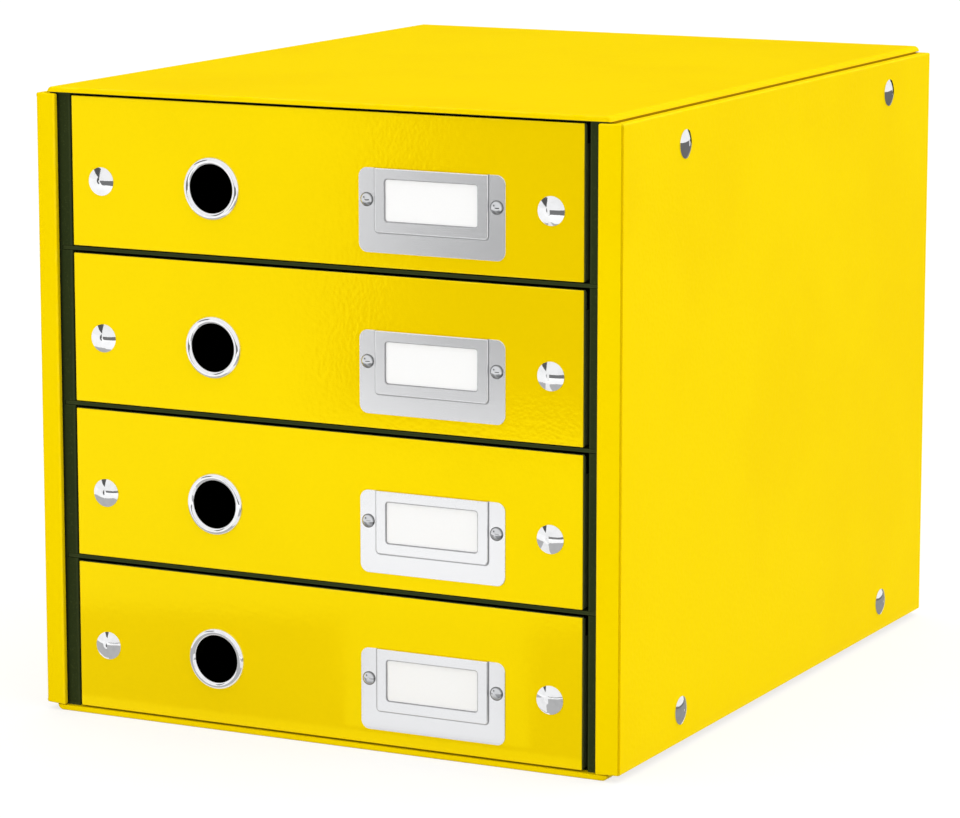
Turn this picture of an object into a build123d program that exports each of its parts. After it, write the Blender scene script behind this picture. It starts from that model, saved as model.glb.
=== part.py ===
from build123d import *
import os
from math import sqrt

# Desk drawer unit of laminated board: a folded case with four sliding drawers, held together by press studs.
# Millimetres. +X is right, +Y is back and +Z is up, so the front faces -Y.
# The origin is on the floor, under the middle of the unit's overall box.

# Case
CASE_WIDTH = 286.4  # across the outer faces of the two side panels
CASE_DEPTH = 356.0  # from the front folds to the rear flanges
WALL_DEPTH = 16.2  # from a side panel's outer face to its liner's inner face
BOARD = 2.5  # laminated board of the covers, side panels and back
EDGE_GAP = 0.5  # between the edges of neighbouring case boards
EDGE_ROUND_SHARE = 0.3  # rounding of a turned edge, as a share of its board
CUT_OVERRUN = 5.0  # how far every cut runs past what it cuts

# Top and base covers
COVER_BEND_INNER = 0.2  # inside radius of the bend into a flap
COVER_EDGE_SHARE = 0.36  # rounding of the front and rear edges, as a share of the board
FLAP_GAP = 0.6  # between a flap and the side panel that hides it
FLAP_MARGIN = 12.0  # flap, and the hem beside it, beyond the middle of their studs

# Side panels
FLANGE_WIDTH = 10.6
FLANGE_SPRING = 1.9  # how far a front flange's free edge springs out past its fold
FOLD_RADIUS_SHARE = 0.44  # outside radius of a folded corner, as a share of the board
CREASE_RADIUS = 0.6  # groove pressed along each folded corner
CREASE_END = 1.5  # from the ends of a crease to the panel's edges
SIDE_STUD_INSET = 14.5  # from the panel's upper and lower edges
SIDE_STUD_FRONT = 63.5  # from the front flange
SIDE_STUD_REAR = 55.0  # from the rear flange

# Inner frame
LINER_BOARD = 2.0
LINER_FOLD_SHARE = 0.4  # outside radius of a liner's folds, as a share of its board
SHELF_BOARD = 1.6
SHELF_SETBACK = 0.4  # from the flange's rear face to a shelf's front edge
SHELF_TAB_LENGTH = 36.0
SHELF_TAB_REACH = 5.0  # how far a tab runs into the wall
SLOT_CLEARANCE = 0.2

# Drawers
DRAWER_COUNT = 4
DRAWER_PITCH = 70.0
DRAWER_SIDE_CLEARANCE = 1.8  # between a drawer's facing and a liner
SLIDE_CLEARANCE = 0.3  # between a tray and what it slides on
FACING_BOARD = 2.3
FACING_LIFT = 0.8  # from what carries the tray to the facing's lower edge
FACING_HEADROOM = 1.0  # from the facing's upper edge to the shelf above
FACING_RECESS = 0.8  # behind the flanges' folds
FACING_ROUND_SHARE = 0.18  # rounding of the facing's edges, as a share of its board
TRAY_BOARD = 2.0
TRAY_INSET = 0.5  # how far the facing overhangs the tray at each end
TRAY_DROP = 9.0  # from the facing's upper edge to the tray's side walls
TRAY_FRONT_DROP = 1.0  # from the facing's upper edge to the tray's front wall
TRAY_REAR_CLEARANCE = 1.2  # between a tray's rear studs and the back panel
TRAY_FOLD_SHARE = 0.6  # outside radius of the tray's folds, as a share of its board
TRAY_SLIT = 0.2  # between a corner tab and the wall that it lies on
TAB_MARGIN = 13.0  # corner tab beyond the middle of its stud
TAB_DROP = 6.0  # from the top of a side wall to its corner tab

# Places of the fittings on a drawer's front
FITTING_HEIGHT = 29.2  # from the facing's lower edge to the line of fittings
STUD_END_INSET = 15.0  # from the facing's ends to the studs
LABEL_STUD_GAP = 21.2  # from the right stud to the label plate

# Press studs
STUD_HEAD_RADIUS = 6.3
STUD_HEAD_HEIGHT = 1.8
STUD_RIM = 0.35  # upright edge of the domed head
STUD_POST_RADIUS = 2.0
STUD_NECK_DEPTH = 0.4  # groove round the post
STUD_NECK_LENGTH = 0.9
STUD_TIP_LENGTH = 0.8  # post beyond the groove
STUD_HOLE_CLEARANCE = 0.15
SOCKET_BRIM_THICKNESS = 0.7
SOCKET_BRIM_REACH = 1.7  # brim beyond the cup
SOCKET_CUP_WALL = 1.7
SOCKET_BACK = 0.6  # from the end of the post to the end of the socket
SOCKET_CLEARANCE = 0.1

# Finger ring
RING_HOLE_RADIUS = 10.5
RING_FLANGE_WIDTH = 3.4
RING_PROUD = 1.6
RING_LAND = 0.4  # straight start of the hole in front of the facing
RING_WALL = 0.9
RING_CLEARANCE = 0.1
RING_LIP_REACH = 0.8  # rolled end of the barrel over the washer
RING_LIP_THICKNESS = 0.5
WASHER_REACH = 1.8  # washer beyond the barrel
WASHER_THICKNESS = 0.8

# Label holder
WINDOW_WIDTH = 44.0
WINDOW_HEIGHT = 18.0
WINDOW_CORNER = 1.2
FRAME_BORDER = 5.0  # raised frame beside and below the window
FRAME_TOP_BORDER = 4.7
FRAME_CORNER = 1.6
PLATE_EAR = 8.0  # flat plate at each side of the frame
PLATE_FOOT = 8.8  # flat plate below the frame
PLATE_SHEET = 0.6
PLATE_CORNER = 4.0
PLATE_EDGE_SHARE = 0.35  # rounding of the plate's front edges, as a share of the sheet
FRAME_EDGE_SHARE = 0.75  # rounding of the frame's and the window's front edges, as a share of the sheet
CARD_THICKNESS = 0.35
CARD_CLEARANCE = 0.2  # all round the card in its pocket
CARD_TOP_DROP = 0.5  # from the plate's upper edge to the card's
RIVET_HEAD_RADIUS = 3.05
RIVET_HEAD_HEIGHT = 1.8
RIVET_RIM = 0.25  # upright edge of the domed head
RIVET_SHANK_RADIUS = 1.4
RIVET_TAIL_REACH = 1.0  # clinched tail beyond the shank
RIVET_TAIL_HEIGHT = 0.7
RIVET_CLEARANCE = 0.1

# Sizes that follow from those above
inner_height = DRAWER_COUNT * DRAWER_PITCH - SHELF_BOARD
facing_height = DRAWER_PITCH - FACING_LIFT - SHELF_BOARD - FACING_HEADROOM
stud_hole = STUD_POST_RADIUS + STUD_HOLE_CLEARANCE
socket_depth = SOCKET_BRIM_THICKNESS + STUD_NECK_LENGTH + STUD_TIP_LENGTH + SOCKET_BACK
barrel_radius = RING_HOLE_RADIUS + RING_WALL
barrel_hole = barrel_radius + RING_CLEARANCE
frame_width = WINDOW_WIDTH + 2 * FRAME_BORDER
frame_height = FRAME_TOP_BORDER + WINDOW_HEIGHT + FRAME_BORDER
pocket_width = frame_width - 2 * PLATE_SHEET
pocket_depth = CARD_THICKNESS + 2 * CARD_CLEARANCE
plate_width = frame_width + 2 * PLATE_EAR
plate_height = frame_height + PLATE_FOOT
rivet_hole = RIVET_SHANK_RADIUS + RIVET_CLEARANCE

# Places across the unit, from its middle
half_width = CASE_WIDTH / 2
panel_inner = half_width - BOARD
hem_inner = panel_inner - BOARD
flange_inner = half_width - FLANGE_WIDTH
flap_outer = hem_inner - FLAP_GAP
flap_inner = flap_outer - BOARD
return_end = flap_inner - COVER_BEND_INNER - EDGE_GAP
liner_face = half_width - WALL_DEPTH
facing_half = liner_face - DRAWER_SIDE_CLEARANCE
tray_half = facing_half - TRAY_INSET
stud_offset = facing_half - STUD_END_INSET
label_offset = stud_offset - LABEL_STUD_GAP - plate_width / 2
rivet_offset = (frame_width + PLATE_EAR) / 2

# Places up the unit, from the floor
base_top = BOARD
top_underside = base_top + inner_height
case_height = top_underside + BOARD
side_bottom = base_top + EDGE_GAP
side_top = top_underside - EDGE_GAP
stud_low = side_bottom + SIDE_STUD_INSET
stud_high = side_top - SIDE_STUD_INSET
low_flap_end = stud_low + FLAP_MARGIN
high_flap_end = stud_high - FLAP_MARGIN

# How far a front flange's free edge, rounded as it is, stands before its fold
edge_round = EDGE_ROUND_SHARE * BOARD
spring_slope = FLANGE_SPRING / FLANGE_WIDTH
free_edge_reach = FLANGE_SPRING - edge_round * (spring_slope + sqrt(1 + spring_slope**2) - 1)

# Places from front to back
fitting_heights = (STUD_HEAD_HEIGHT, RING_PROUD, PLATE_SHEET + RIVET_HEAD_HEIGHT, PLATE_SHEET + pocket_depth)
front_proud = max(free_edge_reach, max(fitting_heights) - FACING_RECESS)
front = (front_proud - CASE_DEPTH) / 2
back = front + CASE_DEPTH
flange_rear = front + BOARD
back_panel_front = back - 2 * BOARD
shelf_front = flange_rear + SHELF_SETBACK
shelf_rear = back_panel_front - EDGE_GAP
facing_front = front + FACING_RECESS
facing_rear = facing_front + FACING_BOARD
front_wall_rear = facing_rear + TRAY_BOARD
front_tab_rear = front_wall_rear + TRAY_SLIT + TRAY_BOARD
tray_back = back_panel_front - TRAY_REAR_CLEARANCE - STUD_HEAD_HEIGHT
rear_wall_front = tray_back - TRAY_BOARD
rear_tab_front = rear_wall_front - TRAY_SLIT - TRAY_BOARD
side_stud_rows = (front + SIDE_STUD_FRONT, back - SIDE_STUD_REAR)

# Thickness of board that each fastener holds
side_grip = half_width - flap_inner
front_grip = front_tab_rear - facing_front
rear_grip = tray_back - rear_tab_front
wall_grip = front_wall_rear - facing_front

FORWARD = (0, -1, 0)
BACKWARD = (0, 1, 0)


def slab(x, y, z):
    """A box from three (low, high) pairs."""
    size = [high - low for low, high in (x, y, z)]
    middle = [(high + low) / 2 for low, high in (x, y, z)]
    return Pos(*middle) * Box(*size)


def grown(span, by):
    """A (low, high) pair made longer by the same amount at both ends."""
    return (span[0] - by, span[1] + by)


def on_side(side, inner, outer):
    """The (low, high) pair from inner to outer, on the left (-1) or the right (+1)."""
    return tuple(sorted((side * inner, side * outer)))


def hole_along_x(x_span, y, z, radius):
    """A round cut along X, right through a span."""
    low, high = grown(x_span, CUT_OVERRUN)
    return Pos((low + high) / 2, y, z) * Rot(0, 90, 0) * Cylinder(radius, high - low)


def hole_along_y(x, y_span, z, radius):
    """A round cut along Y, right through a span."""
    low, high = grown(y_span, CUT_OVERRUN)
    return Pos(x, (low + high) / 2, z) * Rot(90, 0, 0) * Cylinder(radius, high - low)


def turned(edges):
    """A solid of revolution about Z, from its half outline in X and Z."""
    return revolve(Plane.XZ * make_face(edges), axis=Axis.Z)


def placed(solid, point, direction):
    """A turned piece, moved so that its Z axis points along a direction from a point."""
    return Plane(origin=point, z_dir=direction) * solid


def dome(radius, height, rim):
    """The outline of a domed head, from its middle out to the top of its rim."""
    rise = height - rim
    sphere = (radius**2 + rise**2) / (2 * rise)
    half_radius = radius / 2
    half_height = height - sphere + sqrt(sphere**2 - half_radius**2)
    return ThreePointArc((0, height), (half_radius, half_height), (radius, rim))


# Press studs and their sockets. Z is outward, and a head sits on its board at Z = 0.


def press_stud(grip):
    """A domed head on a post, which is grooved where its socket grips it."""
    neck_top = -grip - SOCKET_BRIM_THICKNESS
    neck_bottom = neck_top - STUD_NECK_LENGTH
    tip = neck_bottom - STUD_TIP_LENGTH
    neck_radius = STUD_POST_RADIUS - STUD_NECK_DEPTH
    head = dome(STUD_HEAD_RADIUS, STUD_HEAD_HEIGHT, STUD_RIM)
    body = Polyline(
        (STUD_HEAD_RADIUS, STUD_RIM),
        (STUD_HEAD_RADIUS, 0),
        (STUD_POST_RADIUS, 0),
        (STUD_POST_RADIUS, neck_top),
        (neck_radius, neck_top),
        (neck_radius, neck_bottom),
        (STUD_POST_RADIUS, neck_bottom),
        (STUD_POST_RADIUS, tip),
        (0, tip),
        (0, STUD_HEAD_HEIGHT),
    )
    return turned([head, *body.edges()])


def stud_socket(grip):
    """The brimmed cup behind the boards, with a lip in the post's groove."""
    bore = STUD_POST_RADIUS + SOCKET_CLEARANCE
    cup = bore + SOCKET_CUP_WALL
    lip = bore - STUD_NECK_DEPTH
    seat = -grip
    brim_rear = seat - SOCKET_BRIM_THICKNESS
    lip_top = brim_rear - SOCKET_CLEARANCE
    lip_bottom = brim_rear - STUD_NECK_LENGTH + SOCKET_CLEARANCE
    outline = Polyline(
        (bore, seat),
        (cup + SOCKET_BRIM_REACH, seat),
        (cup + SOCKET_BRIM_REACH, brim_rear),
        (cup, brim_rear),
        (cup, seat - socket_depth),
        (bore, seat - socket_depth),
        (bore, lip_bottom),
        (lip, lip_bottom),
        (lip, lip_top),
        (bore, lip_top),
        close=True,
    )
    return turned(outline.edges())


# Case


def top_cover():
    """The top board, bent down at each side into a flap that hides behind the side panel."""
    outside = rounded_top(flap_outer, high_flap_end, case_height, COVER_BEND_INNER + BOARD)
    inside = rounded_top(flap_inner, high_flap_end, top_underside, COVER_BEND_INNER)
    cover = extrude(Plane.XZ.offset(-front) * (outside - inside), amount=-CASE_DEPTH)
    upper_edges = cover.edges().filter_by(Axis.X).group_by(Axis.Z)[-1]
    cover = fillet(upper_edges, COVER_EDGE_SHARE * BOARD)
    upright = (high_flap_end - CUT_OVERRUN, top_underside)
    for side in (-1, 1):
        across = on_side(side, return_end, half_width)
        cover -= slab(across, (front - CUT_OVERRUN, flange_rear + EDGE_GAP), upright)
        cover -= slab(across, (back_panel_front - EDGE_GAP, back + CUT_OVERRUN), upright)
        for y in side_stud_rows:
            cover -= hole_along_x(on_side(side, flap_inner, flap_outer), y, stud_high, stud_hole)
    return cover


def rounded_top(half, low, high, radius):
    """A rectangle centred across the unit, with its two upper corners rounded."""
    block = Pos(0, (low + high) / 2) * Rectangle(2 * half, high - low)
    return fillet(block.vertices().group_by(Axis.Y)[-1], radius)


def base_cover():
    """The base board is the top cover turned over."""
    return mirror(top_cover(), about=Plane.XY.offset(case_height / 2))


def side_panel():
    """The right side: a board folded into flanges at its front and rear, and doubled at its top and bottom."""
    upright = (side_bottom, side_top)
    along = (flange_rear, back - BOARD)
    inward = flange_inner - CUT_OVERRUN
    panel = slab((flange_inner, half_width), (front, back), upright)
    panel -= slab((inward, hem_inner), along, grown(upright, CUT_OVERRUN))
    panel -= slab((inward, panel_inner), along, (low_flap_end, high_flap_end))
    panel += flange_wedge(half_width, front)
    panel -= flange_wedge(panel_inner, flange_rear)
    fold_radius = FOLD_RADIUS_SHARE * BOARD
    folds = panel.edges().filter_by(Axis.Z).group_by(Axis.X)[-1]
    panel = fillet(folds, fold_radius)
    free_edge = panel.edges().filter_by(Axis.Z).group_by(Axis.Y)[0]
    panel = fillet(free_edge, edge_round)
    ends = panel.faces().group_by(Axis.Z)
    panel = fillet(ends[0].edges() + ends[-1].edges(), edge_round)
    # the hems stop short of the front flange and of the back panel
    for gap in ((flange_rear, flange_rear + EDGE_GAP), (back_panel_front - EDGE_GAP, back - BOARD)):
        panel -= slab((inward, panel_inner), gap, grown(upright, CUT_OVERRUN))
    crease = Cylinder(CREASE_RADIUS, side_top - side_bottom - 2 * CREASE_END)
    fold_inset = fold_radius * (1 - sqrt(2) / 2)
    for y in (front + fold_inset, back - fold_inset):
        panel -= Pos(half_width - fold_inset, y, case_height / 2) * crease
    for y in side_stud_rows:
        for z in (stud_low, stud_high):
            panel -= hole_along_x((hem_inner, half_width), y, z, stud_hole)
    return panel


def flange_wedge(fold_x, fold_y):
    """What a front flange's spring adds before its front face, or takes from behind its rear face."""
    corners = [(fold_x, fold_y), (flange_inner, fold_y), (flange_inner, fold_y - FLANGE_SPRING)]
    outline = make_face(Polyline(*corners, close=True))
    return extrude(Plane.XY.offset(side_bottom) * outline, amount=side_top - side_bottom, dir=(0, 0, 1))


def back_panel():
    """A flat board held behind the liners by the rear flanges."""
    reach = panel_inner - EDGE_GAP
    return slab((-reach, reach), (back_panel_front, back - BOARD), (side_bottom, side_top))


def shelf_tab_spans():
    """Where the tabs along a shelf's side start and end, from front to back."""
    middle = (shelf_front + shelf_rear) / 2
    half_tab = SHELF_TAB_LENGTH / 2
    return [
        (shelf_front, shelf_front + SHELF_TAB_LENGTH),
        (middle - half_tab, middle + half_tab),
        (shelf_rear - SHELF_TAB_LENGTH, shelf_rear),
    ]


def slot_spans():
    """The slots for those tabs. The first is open at the liner's front, and the last at its rear."""
    first, middle, last = [grown(span, SLOT_CLEARANCE) for span in shelf_tab_spans()]
    return [(flange_rear - CUT_OVERRUN, first[1]), middle, (last[0], back_panel_front + CUT_OVERRUN)]


def shelf_height(level):
    """The lowest and highest Z of the shelf that a drawer slides on."""
    shelf_top = base_top + level * DRAWER_PITCH
    return (shelf_top - SHELF_BOARD, shelf_top)


def liner(side):
    """The dark inner wall: a board with a return at each end, slotted for the shelves' tabs."""
    upright = (base_top, top_underside)
    wall = slab(on_side(side, liner_face, return_end), (flange_rear, back_panel_front), upright)
    wall -= slab(
        on_side(side, liner_face + LINER_BOARD, half_width),
        (flange_rear + LINER_BOARD, back_panel_front - LINER_BOARD),
        grown(upright, CUT_OVERRUN),
    )
    folds = wall.edges().filter_by(Axis.Z).group_by(Axis.X)[-1 if side < 0 else 0]
    wall = fillet(folds, LINER_FOLD_SHARE * LINER_BOARD)
    across = on_side(side, liner_face - CUT_OVERRUN, liner_face + SHELF_TAB_REACH + SLOT_CLEARANCE)
    for level in range(1, DRAWER_COUNT):
        for along in slot_spans():
            wall -= slab(across, along, grown(shelf_height(level), SLOT_CLEARANCE))
    return wall


def shelf(level):
    """A board across the case that carries one drawer, with tabs that hook into the liners."""
    reach = liner_face - SLOT_CLEARANCE
    tab_end = liner_face + SHELF_TAB_REACH
    board = slab((-reach, reach), (shelf_front, shelf_rear), shelf_height(level))
    for along in shelf_tab_spans():
        board += slab((-tab_end, tab_end), along, shelf_height(level))
    return board


def side_fasteners(side, piece):
    """A stud or a socket at each corner of a side panel."""
    places = [(side * half_width, y, z) for y in side_stud_rows for z in (stud_low, stud_high)]
    return [placed(piece, place, (side, 0, 0)) for place in places]


# Drawers


def front_holes(bottom, y_span):
    """The cuts through a drawer's front for its ring, rivets and studs."""
    line = bottom + FITTING_HEIGHT
    cuts = hole_along_y(-label_offset, y_span, line, barrel_hole)
    for x in (label_offset - rivet_offset, label_offset + rivet_offset):
        cuts += hole_along_y(x, y_span, line, rivet_hole)
    for x in (-stud_offset, stud_offset):
        cuts += hole_along_y(x, y_span, line, stud_hole)
    return cuts


def facing(bottom):
    """The coloured front board, with holes for everything that is fixed through it."""
    y_span = (facing_front, facing_rear)
    board = slab((-facing_half, facing_half), y_span, (bottom, bottom + facing_height))
    board = fillet(board.edges(), FACING_ROUND_SHARE * FACING_BOARD)
    return board - front_holes(bottom, y_span)


def tray(floor, facing_bottom):
    """One folded board: a floor, four walls, and corner tabs that lie inside the front and rear walls."""
    facing_top = facing_bottom + facing_height
    wall_top = facing_top - TRAY_DROP
    across = (-tray_half, tray_half)
    side_along = (front_wall_rear + TRAY_SLIT, rear_wall_front - TRAY_SLIT)
    tab_upright = (floor + TRAY_BOARD + TRAY_SLIT, wall_top - TAB_DROP)
    blank = slab(across, (facing_rear, tray_back), (floor, floor + TRAY_BOARD))
    blank += slab(across, (facing_rear, front_wall_rear), (floor, facing_top - TRAY_FRONT_DROP))
    blank += slab(across, (rear_wall_front, tray_back), (floor, wall_top))
    for side in (-1, 1):
        blank += slab(on_side(side, tray_half - TRAY_BOARD, tray_half), side_along, (floor, wall_top))
        tab_across = on_side(side, stud_offset - TAB_MARGIN, tray_half)
        blank += slab(tab_across, (side_along[0], front_tab_rear), tab_upright)
        blank += slab(tab_across, (rear_tab_front, side_along[1]), tab_upright)
    underside = blank.faces().sort_by(Axis.Z)[0]
    blank = fillet(underside.edges(), TRAY_FOLD_SHARE * TRAY_BOARD)
    blank -= front_holes(facing_bottom, (facing_rear, front_tab_rear))
    for x in (-stud_offset, stud_offset):
        blank -= hole_along_y(x, (rear_tab_front, tray_back), facing_bottom + FITTING_HEIGHT, stud_hole)
    return blank


def drawer_fasteners(line, front_piece, rear_piece):
    """A stud or a socket at each corner of a drawer."""
    ends = (-stud_offset, stud_offset)
    at_front = [placed(front_piece, (x, facing_front, line), FORWARD) for x in ends]
    at_rear = [placed(rear_piece, (x, tray_back, line), BACKWARD) for x in ends]
    return at_front + at_rear


# Finger ring. Z is outward, and its flange sits on the facing at Z = 0.


def finger_ring():
    """A rounded flange on a barrel, which is rolled over its washer at the rear."""
    rim = RING_HOLE_RADIUS + RING_FLANGE_WIDTH
    lip = barrel_radius + RING_LIP_REACH
    lip_front = -wall_grip - WASHER_THICKNESS
    lip_rear = lip_front - RING_LIP_THICKNESS
    crest = RING_HOLE_RADIUS + RING_FLANGE_WIDTH / 2
    flange = ThreePointArc((RING_HOLE_RADIUS, RING_LAND), (crest, RING_PROUD), (rim, 0))
    barrel = Polyline(
        (rim, 0),
        (barrel_radius, 0),
        (barrel_radius, lip_front),
        (lip, lip_front),
        (lip, lip_rear),
        (RING_HOLE_RADIUS, lip_rear),
        (RING_HOLE_RADIUS, RING_LAND),
    )
    return turned([flange, *barrel.edges()])


def ring_washer():
    """The flat washer between the tray's front wall and the ring's rolled end."""
    disc = Cylinder(barrel_radius + WASHER_REACH, WASHER_THICKNESS) - Cylinder(barrel_hole, WASHER_THICKNESS)
    return Pos(0, 0, -wall_grip - WASHER_THICKNESS / 2) * disc


# Label holder


def around_label(width):
    """The (low, high) X of something centred on the label holder."""
    return (label_offset - width / 2, label_offset + width / 2)


def plate_top(line):
    """The label plate's upper edge: its window is centred on the line of fittings."""
    return line + WINDOW_HEIGHT / 2 + FRAME_TOP_BORDER


def label_plate(line):
    """A pressed plate whose raised frame leaves a pocket, open at the top, with a window in it."""
    top = plate_top(line)
    frame_bottom = top - frame_height
    pocket_front = facing_front - pocket_depth
    raised = pocket_front - PLATE_SHEET
    frame_round = FRAME_EDGE_SHARE * PLATE_SHEET
    sheet = slab(around_label(plate_width), (facing_front - PLATE_SHEET, facing_front), (top - plate_height, top))
    sheet = fillet(sheet.edges().filter_by(Axis.Y), PLATE_CORNER)
    sheet = fillet(sheet.faces().sort_by(Axis.Y)[0].edges(), PLATE_EDGE_SHARE * PLATE_SHEET)
    frame = slab(around_label(frame_width), (raised, facing_front), (frame_bottom, top))
    frame = fillet(frame.edges().filter_by(Axis.Y).group_by(Axis.Z)[0], FRAME_CORNER)
    frame = fillet(frame.faces().sort_by(Axis.Y)[0].edges(), frame_round)
    pocket_upright = (frame_bottom + PLATE_SHEET, top + CUT_OVERRUN)
    pocket = slab(around_label(pocket_width), (pocket_front, facing_front + CUT_OVERRUN), pocket_upright)
    window_upright = (line - WINDOW_HEIGHT / 2, line + WINDOW_HEIGHT / 2)
    window = slab(around_label(WINDOW_WIDTH), grown((raised, facing_front), CUT_OVERRUN), window_upright)
    window = fillet(window.edges().filter_by(Axis.Y), WINDOW_CORNER)
    plate = sheet + frame - pocket - window
    window_edges = plate.faces().sort_by(Axis.Y)[0].inner_wires()[0].edges()
    plate = fillet(window_edges, frame_round)
    for x in (label_offset - rivet_offset, label_offset + rivet_offset):
        plate -= hole_along_y(x, (raised, facing_front), line, rivet_hole)
    return plate


def label_card(line):
    """The paper card that drops into the label holder's pocket."""
    top = plate_top(line)
    card_rear = facing_front - CARD_CLEARANCE
    return slab(
        around_label(pocket_width - 2 * CARD_CLEARANCE),
        (card_rear - CARD_THICKNESS, card_rear),
        (top - frame_height + PLATE_SHEET + CARD_CLEARANCE, top - CARD_TOP_DROP),
    )


def rivet():
    """A domed rivet on the plate, with a clinched tail behind the tray's front wall."""
    tail_radius = RIVET_SHANK_RADIUS + RIVET_TAIL_REACH
    tail_front = -PLATE_SHEET - wall_grip
    tail_rear = tail_front - RIVET_TAIL_HEIGHT
    head = dome(RIVET_HEAD_RADIUS, RIVET_HEAD_HEIGHT, RIVET_RIM)
    body = Polyline(
        (RIVET_HEAD_RADIUS, RIVET_RIM),
        (RIVET_HEAD_RADIUS, 0),
        (RIVET_SHANK_RADIUS, 0),
        (RIVET_SHANK_RADIUS, tail_front),
        (tail_radius, tail_front),
        (tail_radius, tail_rear),
        (0, tail_rear),
        (0, RIVET_HEAD_HEIGHT),
    )
    return turned([head, *body.edges()])


def label_rivets(line):
    """The rivets at each side of the label holder's frame."""
    ends = (label_offset - rivet_offset, label_offset + rivet_offset)
    return [placed(rivet(), (x, facing_front - PLATE_SHEET, line), FORWARD) for x in ends]


# Every piece by name


def case_pieces():
    """The boards, studs and sockets of the case."""
    pieces = {"top_cover": [top_cover()], "base_cover": [base_cover()], "back_panel": [back_panel()]}
    right_panel = side_panel()
    pieces["right_side_panel"] = [right_panel]
    pieces["left_side_panel"] = [mirror(right_panel, about=Plane.YZ)]
    for name, side in (("left", -1), ("right", 1)):
        pieces[f"{name}_liner"] = [liner(side)]
        pieces[f"{name}_side_studs"] = side_fasteners(side, press_stud(side_grip))
        pieces[f"{name}_stud_sockets"] = side_fasteners(side, stud_socket(side_grip))
    for level in range(1, DRAWER_COUNT):
        pieces[f"shelf_{DRAWER_COUNT - level}"] = [shelf(level)]
    return pieces


def drawer_pieces(number):
    """One drawer and its fittings. Drawer 1 is at the top, and shelf 1 carries it."""
    carrier = base_top + (DRAWER_COUNT - number) * DRAWER_PITCH
    bottom = carrier + FACING_LIFT
    line = bottom + FITTING_HEIGHT
    ring_place = (-label_offset, facing_front, line)
    pieces = {
        "facing": [facing(bottom)],
        "tray": [tray(carrier + SLIDE_CLEARANCE, bottom)],
        "studs": drawer_fasteners(line, press_stud(front_grip), press_stud(rear_grip)),
        "stud_sockets": drawer_fasteners(line, stud_socket(front_grip), stud_socket(rear_grip)),
        "finger_ring": [placed(finger_ring(), ring_place, FORWARD)],
        "ring_washer": [placed(ring_washer(), ring_place, FORWARD)],
        "label_plate": [label_plate(line)],
        "label_card": [label_card(line)],
        "rivets": label_rivets(line),
    }
    return {f"drawer_{number}_{name}": solids for name, solids in pieces.items()}


def main():
    """Writes one file for each piece, or for each group of like fasteners."""
    os.makedirs("parts", exist_ok=True)
    pieces = case_pieces()
    for number in range(1, DRAWER_COUNT + 1):
        pieces.update(drawer_pieces(number))
    for name, solids in pieces.items():
        shape = solids[0] if len(solids) == 1 else Compound(children=solids)
        export_step(shape, f"parts/{name}.step")
    print(len(pieces), "nodes in a case of", CASE_WIDTH, "by", CASE_DEPTH, "by", round(case_height, 2), "mm")


main()
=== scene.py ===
# %% [markdown]
# # A desk drawer unit of yellow laminated board
#
# The real unit is sold flat. Boards covered with a glossy yellow film are folded up and held by chromed
# press studs, and four dark trays slide in it on dark shelves. Each drawer has a finger ring and a metal
# label holder.
#
# The shapes come from the packed CAD model and keep their places, because remaking them here could only
# move them away from it. This lesson gives every piece its finish, then builds a small photo studio round
# the unit: white light from all sides, a white floor, cards for the metal to reflect, a lamp and the
# camera.

# %% Load the packed model
import math

import bpy
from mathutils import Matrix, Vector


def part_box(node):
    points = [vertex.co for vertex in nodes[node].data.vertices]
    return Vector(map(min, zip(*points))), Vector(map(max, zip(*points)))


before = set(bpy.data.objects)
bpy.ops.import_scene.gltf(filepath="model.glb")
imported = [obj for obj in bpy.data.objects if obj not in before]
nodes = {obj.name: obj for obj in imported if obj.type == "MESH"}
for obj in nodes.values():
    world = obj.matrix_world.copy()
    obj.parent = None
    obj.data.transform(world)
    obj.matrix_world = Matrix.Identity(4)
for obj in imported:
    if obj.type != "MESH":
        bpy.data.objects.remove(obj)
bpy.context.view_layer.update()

# %% [markdown]
# ## Signals
#
# A finish is a graph of shader nodes. Wired one by one they take many lines that hide the idea, so three
# small classes do the wiring. The first, `Signal`, is one output of the graph. It understands the usual
# operators, so that `1 - mask` or `0.3 + 0.1 * grain` adds the Math nodes it needs.


# %% Signals
def operator(operation):
    """The two forms of one operator: signal first, and signal second."""

    def forward(self, other):
        return self.sheet.math(operation, self, other)

    def reflected(self, other):
        return self.sheet.math(operation, other, self)

    return forward, reflected


class Signal:
    """One output socket of a graph, for use in sums."""

    __add__, __radd__ = operator("ADD")
    __sub__, __rsub__ = operator("SUBTRACT")
    __mul__, __rmul__ = operator("MULTIPLY")

    def __init__(self, sheet, socket):
        self.sheet = sheet
        self.socket = socket


print("signals can be added, subtracted and multiplied")

# %% [markdown]
# ## Sheets
#
# A `Sheet` is the graph itself. Its method `node` makes any node from its type, its settings and what
# goes into its sockets. A node group could hold a sum that comes up again, but a short method is easier
# to read and to change. A Mix node has sockets of the same name for numbers and for colours, so the
# coloured ones are numbered.

# %% Sheets
MIX_SHARE, MIX_LOW, MIX_HIGH, MIX_COLOUR = 0, 6, 7, 2


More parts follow.
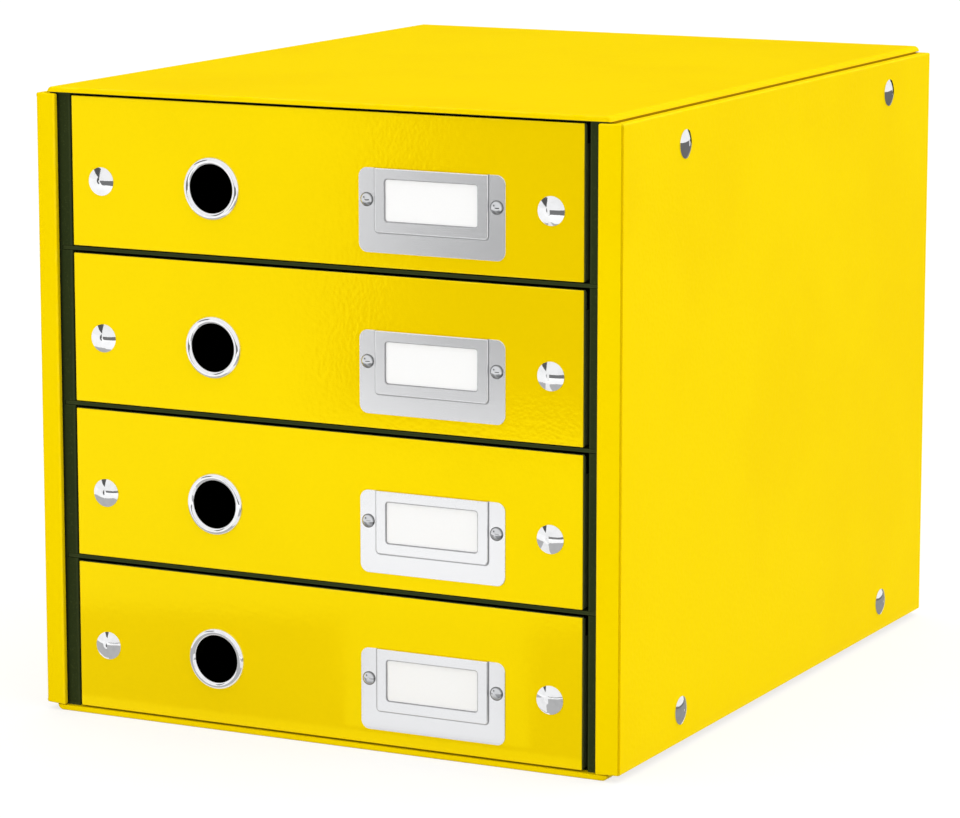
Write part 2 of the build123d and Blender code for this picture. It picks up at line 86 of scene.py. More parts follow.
class Sheet:
    """A graph of shader nodes."""

    def __init__(self, tree):
        self.tree = tree
        tree.nodes.clear()

    def node(self, kind, settings, sockets, output=0):
        """Adds a node: its settings first, then a value or a signal for each named or numbered socket."""
        made = self.tree.nodes.new("ShaderNode" + kind)
        for name, value in settings.items():
            setattr(made, name, value)
        for key, value in sockets.items():
            socket = made.inputs[key]
            if isinstance(value, Signal):
                self.tree.links.new(value.socket, socket)
            elif socket.type == "RGBA":
                socket.default_value = (*value, 1.0)
            else:
                socket.default_value = value
        return Signal(self, made.outputs[output] if made.outputs else None)

    def math(self, operation, first, second=0.0):
        """One Math node. Operations on a single value leave the second one unused."""
        return self.node("Math", {"operation": operation}, {0: first, 1: second})

    def larger(self, first, second):
        return self.math("MAXIMUM", first, second)

    def smaller(self, first, second):
        return self.math("MINIMUM", first, second)

    def size(self, value):
        """The value without its sign."""
        return self.math("ABSOLUTE", value)

    def length(self, first, second):
        """The distance that two distances at right angles make."""
        return self.math("SQRT", first * first + second * second)

    def step(self, value, start, end):
        """A smooth rise from 0 to 1 between two values."""
        sockets = {"Value": value, "From Min": start, "From Max": end}
        return self.node("MapRange", {"interpolation_type": "SMOOTHSTEP"}, sockets)

    def mix(self, low, high, share):
        """A colour between two others."""
        sockets = {MIX_SHARE: share, MIX_LOW: low, MIX_HIGH: high}
        return self.node("Mix", {"data_type": "RGBA"}, sockets, MIX_COLOUR)


print("a sheet can:", [name for name in vars(Sheet) if not name.startswith("_")])

# %% [markdown]
# ## Finishes
#
# A `Finish` is a sheet that ends in one Principled shader. UV maps could place its patterns, but the CAD
# meshes have none. Object coordinates are metres in the unit's own frame, and they move with a drawer
# when it slides, so the patterns use those. Small sizes are written in millimetres.

# %% Finishes
MM = 0.001
LINE_FULL_SHARE = 0.3


class Finish(Sheet):
    """A material with one Principled shader. Patterns are placed in the unit's own frame, in metres."""

    def __init__(self, name):
        self.material = bpy.data.materials.new(name)
        self.material.use_nodes = True
        super().__init__(self.material.node_tree)
        self.place = self.node("TexCoord", {}, {}, "Object")
        axes = [self.node("SeparateXYZ", {}, {"Vector": self.place}, axis) for axis in "XYZ"]
        self.x, self.y, self.z = axes

    def noise(self, size, detail=2.0, stretch=(1.0, 1.0, 1.0)):
        """Cloudy noise from 0 to 1 in patches of about this size, drawn out along an axis by its stretch."""
        scaled = [1.0 / (size * share) for share in stretch]
        vector = self.node("VectorMath", {"operation": "MULTIPLY"}, {0: self.place, 1: scaled})
        return self.node("TexNoise", {}, {"Vector": vector, "Scale": 1.0, "Detail": detail})

    def near(self, value, line, reach):
        """1 where a value is on a line, falling to 0 at this reach from it."""
        return 1 - self.step(self.size(value - line), LINE_FULL_SHARE * reach, reach)

    def bump(self, height, depth, strength):
        """A normal from a height of 0 to 1 that stands for this depth in metres."""
        return self.node("Bump", {}, {"Height": height, "Distance": depth, "Strength": strength})

    def shade(self, sockets):
        """Puts the shader on the sheet and returns the finished material."""
        shader = self.node("BsdfPrincipled", {}, sockets)
        self.node("OutputMaterial", {}, {"Surface": shader})
        print("finish:", self.material.name, "with", len(self.tree.nodes), "nodes")
        return self.material


print("a finish can also:", [name for name in vars(Finish) if not name.startswith("_")])

# %% [markdown]
# ## Rubbed edges
#
# Handling rubs the boards along their edges, the yellow ones and the dark ones; on the dark ones the paler
# edge is also a painted highlight. The edges could be found by how sharply the mesh bends there, but that
# also marks every small fillet. The boards are box-shaped, so a point is near an edge where it is close to
# two sides of its board's box. The middle one of its three distances to the sides makes the mask.

# %% Rubbed edges
EDGE_REACH = 1.4 * MM


def edge_mask(sheet, box):
    """1 along the edges of a board's box, falling to 0 further in."""
    axes = (sheet.x, sheet.y, sheet.z)
    a, b, c = [sheet.smaller(axis - low, high - axis) for axis, low, high in zip(axes, *box)]
    middle = sheet.larger(sheet.smaller(a, b), sheet.smaller(sheet.larger(a, b), c))
    return 1 - sheet.step(middle, 0.0, EDGE_REACH)


print("edges are rubbed over", EDGE_REACH / MM, "mm")

# %% [markdown]
# ## Bare board on the facings
#
# The film covers the outside of a board only. The cut edges of a drawer's facing show the olive core, and
# its back is the dark inner side. The core's tone is partly painted shade: it is set to the dark of the gaps
# between the drawers, where the cut edges show. The facing could be split into layers, but it is one board,
# so two planes at a film's depth from its front and back part the colours.

# %% Bare board on the facings
# The core colour is partly painted shade for the gaps between the drawers.
CORE_AND_GAP_SHADE = (0.220, 0.270, 0.090)
INNER_FACE_AND_SHADE = (0.045, 0.055, 0.018)
FILM_WRAP = 0.30 * MM
FILM_FADE = 0.15 * MM


def facing_colour(sheet, box, film):
    """Film on the front, the core round the edges, partly painted shade, and the dark inner side at the
    back.
    """
    film_end = box[0][1] + FILM_WRAP
    back_start = box[1][1] - FILM_WRAP
    # The cut edges take the core colour, which is partly painted shade.
    bare = sheet.mix(CORE_AND_GAP_SHADE, INNER_FACE_AND_SHADE, sheet.step(sheet.y, back_start, back_start + FILM_FADE))
    return sheet.mix(film, bare, sheet.step(sheet.y, film_end, film_end + FILM_FADE))


print("film on the facings ends", FILM_WRAP / MM, "mm behind the front")

# %% [markdown]
# ## Creases of the side panels
#
# Along the folded corners of the side panels the film is pressed into a groove where it stretches, and
# painted shade darkens that groove. The shade could be painted on by hand, but a mask stays right when a
# size changes: the distance from the groove's axis, which lies just inside the fold. The front fold stands
# back by as much as the free edge of the flange has sprung open.

# %% Creases of the side panels
# Painted shade for the creases, the seams and the bends.
PAINTED_SHADE = (0.330, 0.190, 0.000)
SPRUNG = 1.75 * MM
CREASE_AXIS = 0.32 * MM
CREASE_FULL, CREASE_END = 0.54 * MM, 0.68 * MM
CREASE_SHADE_STRENGTH = 0.4


def side_panel_colour(sheet, box, film):
    """Film with painted shade in the crease down each outer fold."""
    (x_low, y_low, _), (x_high, y_high, _) = box
    across = x_high - CREASE_AXIS - sheet.x if x_high > 0 else sheet.x - x_low - CREASE_AXIS
    front_fold = sheet.length(across, sheet.y - (y_low + SPRUNG + CREASE_AXIS))
    rear_fold = sheet.length(across, y_high - CREASE_AXIS - sheet.y)
    # Painted shade darkens the crease along each fold.
    crease = 1 - sheet.step(sheet.smaller(front_fold, rear_fold), CREASE_FULL, CREASE_END)
    return sheet.mix(film, PAINTED_SHADE, CREASE_SHADE_STRENGTH * crease)


print("creases reach", CREASE_END / MM, "mm from their axis")

# %% [markdown]
# ## Seams of the covers
#
# The top and the base are bent at their sides, and the bent flaps go behind the side panels. Painted shade
# darkens the seam there, and a little of it lies on the bend itself. Inside, a cover is bare dark board, and
# that dark also stands as painted shade on the flap seen through the seam and on the lowest strip of the
# top's front edge. On the base the film is turned in over the front edge, where it shows below the lowest
# drawer. Materials for single faces could show that, but the borders run across faces, so masks from the
# depth below the film and the distance to the bend place them.

# %% Seams of the covers
COVER_FILM = 2.2 * MM
COVER_FADE = 0.2 * MM
TURN_IN = 5.0 * MM
SEAM_REACH, BEND_REACH = 0.8 * MM, 3.0 * MM
BEND_SHADE_STRENGTH = 0.1


def cover_colour(sheet, node, box, film):
    """Film with painted shade in the seams and on the bends, and the dark inner side below it."""
    (_, y_low, z_low), (x_high, _, z_high) = box
    depth = z_high - sheet.z if node.startswith("top") else sheet.z - z_low
    inside = sheet.step(depth, COVER_FILM, COVER_FILM + COVER_FADE)
    across = sheet.size(sheet.x)
    # Painted shade: the seam, and a weaker band over the bend.
    seam = sheet.near(across, x_high, SEAM_REACH)
    bend = sheet.near(across, x_high, BEND_REACH)
    outside = sheet.mix(film, PAINTED_SHADE, sheet.larger(inside * seam, BEND_SHADE_STRENGTH * bend))
    if node.startswith("base"):
        inside = inside * sheet.step(sheet.y, y_low + TURN_IN, y_low + TURN_IN + COVER_FADE)
    # The dark inner side, also painted shade where it shows through the seam and at the top's front edge.
    return sheet.mix(outside, INNER_FACE_AND_SHADE, inside * (1 - seam))


print("film is turned in over", TURN_IN / MM, "mm of the base")

# %% [markdown]
# ## Yellow laminate
#
# The film has a fine leathery grain, best seen at the edge of a reflection. An image texture could hold
# the grain, but a Voronoi pattern with soft cells gives the same small pebbles at any distance. The
# drawers' fronts mirror the studio a little: the white floor shows on them as a bright sheen, and a dark
# card as a deeper yellow with a soft edge. The large boards are seen at a slant, where that shine would
# wash out the yellow, so they have almost none.

# %% Two kinds of film
BOARD_FILM = {
    "deep": (0.950, 0.675, 0.000),
    "light": (0.975, 0.715, 0.000),
    "tint": (1.0, 0.78, 0.02),
    "roughness": 0.32,
    "ior": 1.5,
    "shine": 0.01,
    "grain": 0.8,
}
FRONT_FILM = {
    "deep": (0.950, 0.655, 0.000),
    "light": (0.985, 0.685, 0.000),
    "tint": (1.0, 1.0, 0.0),
    "roughness": 0.06,
    "ior": 1.72,
    "shine": 1.0,
    "grain": 0.32,
}
print("film: roughness", BOARD_FILM["roughness"], "on boards and", FRONT_FILM["roughness"], "on fronts")

# %% [markdown]
# The finish of one board puts these together. Soft clouds and the pebbles shift the yellow a little
# between a deep and a light tone, and the rubbed edges are broken up by a coarser noise, so that they
# don't look ruled.

# %% Yellow laminate
YELLOW_RUBBED = (0.990, 0.790, 0.060)
PEBBLE, PEBBLE_SOFTNESS = 1.7 * MM, 0.7
PORE, CLOUD, RUB = 0.55 * MM, 90 * MM, 6 * MM
CLOUD_RISE, RUB_RISE = (0.3, 0.6), (0.35, 0.75)
CLOUD_TONE, PEBBLE_TONE, RUB_TONE = 0.7, 0.5, 0.2
PORE_DULLS, RUB_DULLS = 0.06, 0.15
GRAIN_DEPTH, PEBBLE_HEIGHT, PORE_HEIGHT = 0.12 * MM, 0.75, 0.25


def laminate_colour(sheet, node, box, film):
    """The film's colour with the bare board and painted shade that this board has."""
    if node.endswith("facing"):
        return facing_colour(sheet, box, film)
    if node.endswith("side_panel"):
        return side_panel_colour(sheet, box, film)
    if node.endswith("cover"):
        return cover_colour(sheet, node, box, film)
    return film


def yellow_laminate(node):
    sheet = Finish("yellow_laminate_" + node)
    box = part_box(node)
    kind = FRONT_FILM if node.endswith("facing") else BOARD_FILM
    cells = {"Vector": sheet.place, "Scale": 1 / PEBBLE, "Smoothness": PEBBLE_SOFTNESS}
    pebbles = sheet.node("TexVoronoi", {"feature": "SMOOTH_F1"}, cells)
    pores = sheet.noise(PORE)
    clouds = sheet.step(sheet.noise(CLOUD, 3.0), *CLOUD_RISE)
    rub = edge_mask(sheet, box) * sheet.step(sheet.noise(RUB, 4.0), *RUB_RISE)
    film = sheet.mix(kind["deep"], kind["light"], CLOUD_TONE * clouds + PEBBLE_TONE * pebbles)
    film = sheet.mix(film, YELLOW_RUBBED, RUB_TONE * rub)
    height = PEBBLE_HEIGHT * pebbles + PORE_HEIGHT * pores
    return sheet.shade(
        {
            "Base Color": laminate_colour(sheet, node, box, film),
            "Roughness": kind["roughness"] + PORE_DULLS * pores + RUB_DULLS * rub,
            "IOR": kind["ior"],
            "Specular IOR Level": kind["shine"],
            "Specular Tint": kind["tint"],
            "Normal": sheet.bump(height, GRAIN_DEPTH, kind["grain"]),
        }
    )


print("grain in pebbles of", PEBBLE / MM, "mm")

# %% [markdown]
# ## Dark board
#
# Trays, shelves and inner walls are bare dark board, olive-black and matt. Its surface is pressed paper
# pulp: short fibres lie along the length of the sheet, with specks of lighter pulp between them. A scan of
# paper would repeat over such long boards, so a stretched noise makes the fibres and a fine one makes the
# specks. Edges are worn paler, by the same mask as on the yellow boards, and the paler edge also stands in
# for the highlight on the front folds of the inner walls: partly wear, partly painted highlight. The outer
# sides of the trays near the front are paler too: painted light in the narrow dark slot beside each tray.

# %% Dark board
PULP_DARK, PULP_LIGHT = (0.016, 0.025, 0.005), (0.029, 0.042, 0.010)
# Pale pulp: specks and worn edges, and also painted highlight on the edges and painted light on the trays.
PULP_PALE_AND_PAINTED_LIGHT = (0.140, 0.170, 0.062)
FIBRE, FIBRE_STRETCH, FIBRE_DEPTH = 0.9 * MM, (1.0, 5.0, 1.0), 0.05 * MM
SPECK, SPECK_RISE, PULP_CLOUD = 0.7 * MM, (0.62, 0.72), 60 * MM
FIBRE_TONE, PULP_CLOUD_TONE, SPECK_TONE, EDGE_TONE = 0.5, 0.5, 0.15, 0.16
PULP_ROUGHNESS, FIBRE_DULLS, PULP_SHINE, PULP_TOOTH = 0.72, 0.16, 0.15, 0.5
# Painted light on the outer sides of the trays near the front.
LIT_SIDE_FULL, LIT_SIDE_END = 0.3 * MM, 0.8 * MM
LIT_FRONT_FULL, LIT_FRONT_END = 3 * MM, 8 * MM


def tray_painted_light(sheet, box):
    """Painted light: 1 on the outer sides of a tray near its front, falling to 0 further in."""
    (left, front, _), (right, _, _) = box
    inward = sheet.smaller(sheet.x - left, right - sheet.x)
    on_side = 1 - sheet.step(inward, LIT_SIDE_FULL, LIT_SIDE_END)
    return on_side * (1 - sheet.step(sheet.y, front + LIT_FRONT_FULL, front + LIT_FRONT_END))


def dark_board(node):
    sheet = Finish("dark_board_" + node)
    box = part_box(node)
    fibres = sheet.noise(FIBRE, 3.0, FIBRE_STRETCH)
    specks = sheet.step(sheet.noise(SPECK, 1.0), *SPECK_RISE)
    clouds = sheet.noise(PULP_CLOUD, 3.0)
    # Worn edges, partly painted highlight; on a tray also painted light near its front.
    worn_and_lit = EDGE_TONE * edge_mask(sheet, box)
    if node.endswith("tray"):
        worn_and_lit = sheet.larger(worn_and_lit, tray_painted_light(sheet, box))
    pulp = sheet.mix(PULP_DARK, PULP_LIGHT, FIBRE_TONE * fibres + PULP_CLOUD_TONE * clouds)
    return sheet.shade(
        {
            "Base Color": sheet.mix(pulp, PULP_PALE_AND_PAINTED_LIGHT, sheet.larger(SPECK_TONE * specks, worn_and_lit)),
            "Roughness": PULP_ROUGHNESS + FIBRE_DULLS * fibres,
            "Specular IOR Level": PULP_SHINE,
            "Normal": sheet.bump(fibres, FIBRE_DEPTH, PULP_TOOTH),
        }
    )


print("fibres of", FIBRE * max(FIBRE_STRETCH) / MM, "mm")

# %% [markdown]
# ## Chrome and pressed steel
#
# Studs and rings are chromed, so they mirror the room, and only handling shows: faint smudges and
# hairlines that dull the shine. Sockets and washers are plain pressed steel, so the same function makes
# them duller and darker. A flat grey with a low roughness would be simpler, but it looks like plastic as
# soon as the camera comes close.

# %% Chrome and pressed steel
CHROME = {"colour": (0.88, 0.885, 0.895), "roughness": 0.03, "smudge": 0.06}
SOCKET_STEEL = {"colour": (0.56, 0.56, 0.55), "roughness": 0.22, "smudge": 0.12}
# The grey of painted shade on metal, used on the rivets.
METAL_SHADE = (0.060, 0.060, 0.058)
SMEAR, SMEAR_RISE, SMEAR_SHADE = 3.5 * MM, (0.4, 0.75), 0.93
HAIRLINE, HAIRLINE_STRETCH, HAIRLINE_DEPTH = 0.12 * MM, (14.0, 1.0, 3.0), 0.004 * MM
HAIRLINE_SMUDGE, HAIRLINE_BUMP = 0.4, 0.25


def polished_metal(sheet, colour, roughness, smudge, shade_mask=0.0):
    """A mirror of this colour, dulled by smears and hairlines, with painted shade where the shade mask is.
    """
    smears = sheet.step(sheet.noise(SMEAR, 3.0), *SMEAR_RISE)
    hairlines = sheet.noise(HAIRLINE, 2.0, HAIRLINE_STRETCH)
    clean = sheet.mix(colour, [SMEAR_SHADE * share for share in colour], smears)
    return sheet.shade(
        {
            "Base Color": sheet.mix(clean, METAL_SHADE, shade_mask),
            "Metallic": 1.0,
            "Roughness": roughness + smudge * smears + HAIRLINE_SMUDGE * smudge * hairlines,
            "Normal": sheet.bump(hairlines, HAIRLINE_DEPTH, HAIRLINE_BUMP),
        }
    )


print("smears of", SMEAR / MM, "mm on metal")

# %% [markdown]
# ## Rivets
#
# Two small rivets hold each label plate. Painted shade darkens the rims of their heads and the lower half of
# each dome. An ambient occlusion node could find such places, but it costs extra rays. The two heads are
# side by side in one piece, so its box gives their radius and their middles, and the distance from a middle
# makes the mask.

# %% Rivets
RIVET_STEEL = {"colour": (0.66, 0.67, 0.69), "roughness": 0.05, "smudge": 0.05}
RIM_START_SHARE, RIM_FULL_SHARE, BELOW_FULL_SHARE = 0.74, 0.98, 0.8
RIM_SHADE, BELOW_SHADE = 0.85, 0.65


def rivet_steel(node):
    sheet = Finish("rivet_steel_" + node)
    (x_low, _, z_low), (x_high, _, z_high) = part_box(node)
    radius = (z_high - z_low) / 2
    across = sheet.size(sheet.x - (x_low + x_high) / 2) - ((x_high - x_low) / 2 - radius)
    upward = sheet.z - (z_low + z_high) / 2
    # Painted shade round the rims and on the lower half of each head.
    rim = sheet.step(sheet.length(across, upward), RIM_START_SHARE * radius, RIM_FULL_SHARE * radius)
    below = sheet.step(0 - upward, 0.0, BELOW_FULL_SHARE * radius)
    shade_mask = sheet.larger(RIM_SHADE * rim, BELOW_SHADE * below)
    return polished_metal(sheet, **RIVET_STEEL, shade_mask=shade_mask)


print("rivets are grimy from", RIM_START_SHARE, "of their radius")

# %% [markdown]
# ## Grooves of the label plates
#
# The raised frame of a label plate meets the flat sheet in a fine groove, and its window has a turned edge.
# Both are darkened with painted shade and made a little rougher. A groove could be cut into the mesh, but
# what shows there is a dark line, and a mask gives that. Both lines are rectangles with rounded corners. The
# distance to one is the larger one of the distances along its two axes, and round a corner it is the
# distance to the corner's centre. The sizes are those of the plate in the CAD model.

# %% Grooves of the label plates
PLATE_EAR, PLATE_FOOT, PLATE_SHEET = 8.0 * MM, 8.8 * MM, 0.6 * MM
FRAME_BORDER, FRAME_TOP_BORDER = 5.0 * MM, 4.7 * MM
FRAME_CORNER, WINDOW_CORNER = 1.6 * MM, 1.2 * MM
GROOVE_REACH, WINDOW_REACH = 0.75 * MM, 0.6 * MM
SHEET_START, SHEET_FULL = 0.25 * MM, 0.05 * MM


def outline(sheet, left, right, bottom, top, radius, reach):
    """1 on the outline of an upright rectangle with rounded corners, falling to 0 at this reach from it."""
    across = sheet.size(sheet.x - (left + right) / 2) - ((right - left) / 2 - radius)
    upward = sheet.size(sheet.z - (bottom + top) / 2) - ((top - bottom) / 2 - radius)
    outside = sheet.length(sheet.larger(across, 0.0), sheet.larger(upward, 0.0))
    inside = sheet.smaller(sheet.larger(across, upward), 0.0)
    return sheet.near(outside + inside, radius, reach)


def plate_grooves(sheet, box):
    """1 in the groove round the frame, on the flat sheet only, and on the window's edge: where painted shade
    goes.
    """
    (x_low, _, z_low), (x_high, y_high, z_high) = box
    left, right, bottom = x_low + PLATE_EAR, x_high - PLATE_EAR, z_low + PLATE_FOOT
    sheet_front = y_high - PLATE_SHEET
    flat = sheet.step(sheet.y, sheet_front - SHEET_START, sheet_front - SHEET_FULL)
    groove = outline(sheet, left, right, bottom, z_high + PLATE_FOOT, FRAME_CORNER, GROOVE_REACH)
    across = (left + FRAME_BORDER, right - FRAME_BORDER)
    upward = (bottom + FRAME_BORDER, z_high - FRAME_TOP_BORDER)
    window = outline(sheet, *across, *upward, WINDOW_CORNER, WINDOW_REACH)
    return sheet.larger(flat * groove, window)


print("grooves of", GROOVE_REACH / MM, "mm round the frames")

# %% [markdown]
# ## Brushed steel
#
# The label plates are satin steel, brushed along their length. An anisotropic shader is one way to show
# that. Here a noise drawn out along X gives the brush marks themselves, and the same signal serves
# colour, roughness and bump, as on the real plate.

# %% Brushed steel
# The third colour is painted shade for the grooves.
STEEL_LOW, STEEL_HIGH, STEEL_SHADE = (0.83, 0.835, 0.85), (0.91, 0.915, 0.93), (0.28, 0.28, 0.29)
STROKE, STROKE_STRETCH, STROKE_DEPTH = 0.16 * MM, (60.0, 1.0, 1.0), 0.004 * MM
BROAD_STROKE, BROAD_STRETCH = 1.4 * MM, (12.0, 1.0, 1.0)
STROKE_TONE, BROAD_TONE, GROOVE_SHADE_TONE = 0.6, 0.4, 0.85
STEEL_ROUGHNESS, STROKE_DULLS, GROOVE_DULLS, STROKE_BUMP = 0.19, 0.08, 0.25, 0.2


def brushed_steel(node):
    sheet = Finish("brushed_steel_" + node)
    # Painted shade: the groove round the frame and the window's edge.
    groove_shade = plate_grooves(sheet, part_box(node))
    strokes = sheet.noise(STROKE, 3.0, STROKE_STRETCH)
    broad = sheet.noise(BROAD_STROKE, 2.0, BROAD_STRETCH)
    bright = sheet.mix(STEEL_LOW, STEEL_HIGH, STROKE_TONE * strokes + BROAD_TONE * broad)
    return sheet.shade(
        {
            "Base Color": sheet.mix(bright, STEEL_SHADE, GROOVE_SHADE_TONE * groove_shade),
            "Metallic": 1.0,
            "Roughness": STEEL_ROUGHNESS + STROKE_DULLS * strokes + GROOVE_DULLS * groove_shade,
            "Normal": sheet.bump(strokes, STROKE_DEPTH, STROKE_BUMP),
        }
    )


print("brush marks of", round(STROKE * max(STROKE_STRETCH) / MM, 1), "mm")

# %% [markdown]
# ## Label card
#
# The card is plain white paper stock. Paper is never quite even, so a fibre noise shifts its tone a
# little and gives it a slight tooth, where a flat white would look cut out.

# %% Label card
PAPER_LOW, PAPER_HIGH = (0.97, 0.97, 0.965), (1.0, 1.0, 0.995)
PAPER_FIBRE, PAPER_STRETCH, PAPER_DEPTH = 0.5 * MM, (2.5, 1.0, 1.0), 0.03 * MM
PAPER_ROUGHNESS, PAPER_FIBRE_DULLS, PAPER_SHINE, PAPER_TOOTH = 0.75, 0.1, 0.25, 0.4


def paper_card():
    sheet = Finish("paper_card")
    fibres = sheet.noise(PAPER_FIBRE, 4.0, PAPER_STRETCH)
    return sheet.shade(
        {
            "Base Color": sheet.mix(PAPER_LOW, PAPER_HIGH, fibres),
            "Roughness": PAPER_ROUGHNESS + PAPER_FIBRE_DULLS * fibres,
            "Specular IOR Level": PAPER_SHINE,
            "Normal": sheet.bump(fibres, PAPER_DEPTH, PAPER_TOOTH),
        }
    )


print("paper fibres of", PAPER_FIBRE * max(PAPER_STRETCH) / MM, "mm")

# %% [markdown]
# ## Give every piece its finish
#
# Each piece comes from the CAD model with a slot that names its material. One finish for each slot would
# be simplest, and chrome, sockets and cards do share one, because they look the same everywhere. The
# masks of the others need a piece's own box, so each piece gets a finish of its own.

# %% Give every piece its finish
shared = {
    "chrome": polished_metal(Finish("chrome"), **CHROME),
    "socket_steel": polished_metal(Finish("socket_steel"), **SOCKET_STEEL),
    "label_card": paper_card(),
}
fitted = {
    "yellow_board": yellow_laminate,
    "dark_board": dark_board,
    "label_steel": brushed_steel,
    "rivet_steel": rivet_steel,
}
for name, piece in nodes.items():
    slot = piece.data.materials[0].name
    piece.data.materials[0] = fitted[slot](name) if slot in fitted else shared[slot]
print(len(nodes), "pieces have their finish")

# %% [markdown]
# ## White world
#
# The unit was photographed on plain white in soft light, with a bright top and a bright right side.
# Several large lamps could do that, but a white world lights every side softly at once, so most of the
# light comes from it. It is stronger in two wide patches, one above and one at the right, both leaning to
# the back. For the camera and for reflections the world is plain white.

# %% White world
WHITE = (1.0, 1.0, 1.0)
PLAIN_LIGHT, ABOVE_LIGHT, BESIDE_LIGHT = 0.55, 1.10, 2.10
ABOVE, BESIDE = (0.0, 0.30, 0.95), (0.93, 0.30, -0.20)
PATCH_START, PATCH_FULL = 0.4, 0.95


def shown(sheet):
    """1 for rays that show a thing: from the camera, off a shiny surface or through a clear one."""
    kinds = ("Camera", "Glossy", "Transmission")
    return sum(sheet.node("LightPath", {}, {}, f"Is {kind} Ray") for kind in kinds)


def patch(sheet, direction):
    """1 where a ray goes this way, falling to 0 on all sides."""
    towards = sheet.node("TexCoord", {}, {}, "Generated")
    along = sheet.node("VectorMath", {"operation": "DOT_PRODUCT"}, {0: towards, 1: direction}, "Value")
    return sheet.step(along, PATCH_START, PATCH_FULL)


world = bpy.data.worlds.new("white_studio")
world.use_nodes = True
bpy.context.scene.world = world
sky = Sheet(world.node_tree)
light = PLAIN_LIGHT + sky.larger(ABOVE_LIGHT * patch(sky, ABOVE), BESIDE_LIGHT * patch(sky, BESIDE))
white = shown(sky)
background = sky.node("Background", {}, {"Color": WHITE, "Strength": white + (1 - white) * light})
sky.node("OutputWorld", {}, {"Surface": background})
print("world:", world.name, "with", len(world.node_tree.nodes), "nodes")

# %% [markdown]
# ## White floor
#
# The floor is a wide white sheet. Light alone would leave it grey near the unit, or burn out the unit
# itself. So for the rays that show it the floor is darker and glows: it stays white and keeps a light
# shadow. For the light that it throws back on the unit it is plain grey.

# %% White floor
FLOOR_REACH = 24.0
FLOOR_GREY, FLOOR_GREY_SHOWN, FLOOR_GLOW_SHOWN = 0.45, 0.30, 0.72
FLOOR_ROUGHNESS = 0.9
CORNER_SIGNS = ((-1, -1), (1, -1), (1, 1), (-1, 1))


def grey(level):
    return (level, level, level)


def stage_panel(name, corners, material):
    """A flat sheet of the studio, from its corners in metres."""
    mesh = bpy.data.meshes.new(name)
    mesh.from_pydata(corners, [], [list(range(len(corners)))])
    mesh.materials.append(material)
    panel = bpy.data.objects.new(name, mesh)
    bpy.context.scene.collection.objects.link(panel)
    return panel


floor_sheet = Finish("white_floor")
white = shown(floor_sheet)
floor_material = floor_sheet.shade(
    {
        "Base Color": floor_sheet.mix(grey(FLOOR_GREY), grey(FLOOR_GREY_SHOWN), white),
        "Roughness": FLOOR_ROUGHNESS,
        "Specular IOR Level": 0.0,
        "Emission Color": floor_sheet.mix(grey(0.0), grey(FLOOR_GLOW_SHOWN), white),
        "Emission Strength": 1.0,
    }
)
stage_panel("floor", [(x * FLOOR_REACH, y * FLOOR_REACH, 0) for x, y in CORNER_SIGNS], floor_material)
print("floor:", 2 * FLOOR_REACH, "m each way")

# %% [markdown]
# ## Reflection cards
#
# In pure white surroundings chrome would look like white plastic and the fronts would have no sheen, so a
# real studio sets grey and black cards round the object. A dark picture of a room on the world would do
# it too, but would take the white from the backdrop. Each card here glows in its own grey and is seen by
# reflections only. The front card lies far out and deepens the right of the two upper drawers. The near
# card deepens the lowest drawer and the lower halves of the studs, and the plate card lies on it where
# the lowest label plate looks. Three standing cards give domes and rings their dark parts. The two side
# cards are there for the studs on the right side panel, so they start right beside it.

# %% Reflection cards
CARD_LIFT, PLATE_CARD_LIFT = 4 * MM, 6 * MM
SIDE_START, SIDE_JOIN = 0.1455, 0.30


def lying(lift, *points):
    """Corners of a card that lies on the floor, lifted a little so that the floor doesn't hide it."""
    return [(x, y, lift) for x, y in points]


def reflection_card(name, level, corners):
    """A card that only reflections see: it neither lights nor shades anything."""
    glow = {"Emission Color": grey(level), "Emission Strength": 1.0}
    material = Finish(name).shade({"Base Color": grey(0.0), "Specular IOR Level": 0.0, **glow})
    card = stage_panel(name, corners, material)
    card.visible_camera = False
    card.visible_diffuse = False
    card.visible_shadow = False


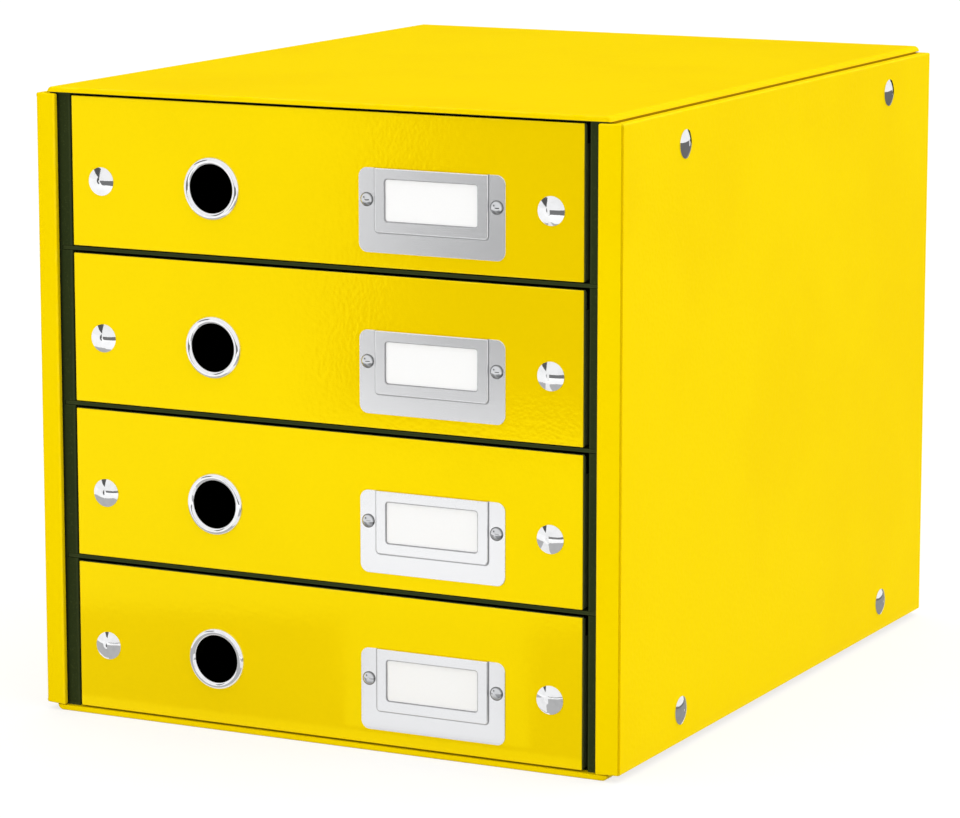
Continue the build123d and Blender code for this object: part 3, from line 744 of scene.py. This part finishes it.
cards = {
    "front_card": (0.20, lying(CARD_LIFT, (-0.39, -0.88), (0.55, -0.88), (2.4, -5.0), (-2.41, -5.0))),
    "near_card": (0.50, lying(CARD_LIFT, (-0.45, -0.28), (0.25, -0.48), (0.25, -0.19), (-0.45, -0.19))),
    "plate_card": (
        0.95,
        lying(PLATE_CARD_LIFT, (-0.11, -0.395), (-0.007, -0.395), (0.0935, -0.19), (0.003, -0.19)),
    ),
    "left_card": (
        0.10,
        [(-1.36, -0.81, 0.72), (-0.86, -1.41, 0.33), (-0.92, -1.36, 1.0), (-1.36, -0.81, 0.86)],
    ),
    "left_back_card": (0.05, [(-2.2, -0.2, 0.0), (-2.2, 1.2, 0.0), (-2.2, 1.2, 1.0), (-2.2, -0.2, 1.0)]),
    "back_card": (0.0, [(-4.0, 1.2, 0.0), (0.8, 2.4, 0.0), (0.8, 2.4, 3.2), (-4.0, 1.2, 3.2)]),
    "near_side_card": (
        0.32,
        lying(CARD_LIFT, (SIDE_START, -0.3), (SIDE_JOIN, -0.3), (SIDE_JOIN, 3.0), (SIDE_START, 3.0)),
    ),
    "side_card": (0.16, lying(CARD_LIFT, (SIDE_JOIN, -0.3), (9.0, -0.3), (9.0, 12.0), (SIDE_JOIN, 12.0))),
}
for name, (level, corners) in cards.items():
    reflection_card(name, level, corners)
print("cards:", ", ".join(cards))

# %% [markdown]
# ## Front lamp
#
# The world alone leaves the fronts darker than in the photograph. A stronger world would burn out the
# top, so one soft lamp stands low in front of the unit. A disk of half a metre throws no hard shadow, and
# it is hidden from the camera and from reflections, so it adds no highlight.

# %% Front lamp
LAMP_DISK, LAMP_WATTS = 0.5, 5.0
LAMP_PLACE = (-0.08, -1.20, 0.12)
lamp_data = bpy.data.lights.new("front_lamp", "AREA")
lamp_data.shape = "DISK"
lamp_data.size = LAMP_DISK
lamp_data.energy = LAMP_WATTS
lamp = bpy.data.objects.new("front_lamp", lamp_data)
lamp.location = LAMP_PLACE
lamp.rotation_euler = (math.radians(90), 0, 0)
lamp.visible_camera = False
lamp.visible_glossy = False
bpy.context.scene.collection.objects.link(lamp)
print("lamp:", LAMP_WATTS, "W at", LAMP_PLACE)

# %% [markdown]
# ## Camera
#
# The photograph was taken from the right of the front and a little above, with a long lens. Angles, place
# and focal length could be found by eye, but a fit to the corners and fittings of the unit comes nearer,
# so the numbers here come from such a fit.

# %% Camera
AZIMUTH, ELEVATION = 26.814, 10.256
LENS_MM = 155.15
CAMERA_PLACE = (0.8563, -1.7186, 0.4685)
camera_data = bpy.data.cameras.new("camera")
camera_data.lens = LENS_MM
camera = bpy.data.objects.new("camera", camera_data)
camera.location = CAMERA_PLACE
camera.rotation_euler = (math.radians(90 - ELEVATION), 0, math.radians(AZIMUTH))
bpy.context.scene.collection.objects.link(camera)
bpy.context.scene.camera = camera
bpy.context.scene.view_settings.view_transform = "Standard"
print("camera:", LENS_MM, "mm lens at", CAMERA_PLACE)

# %% [markdown]
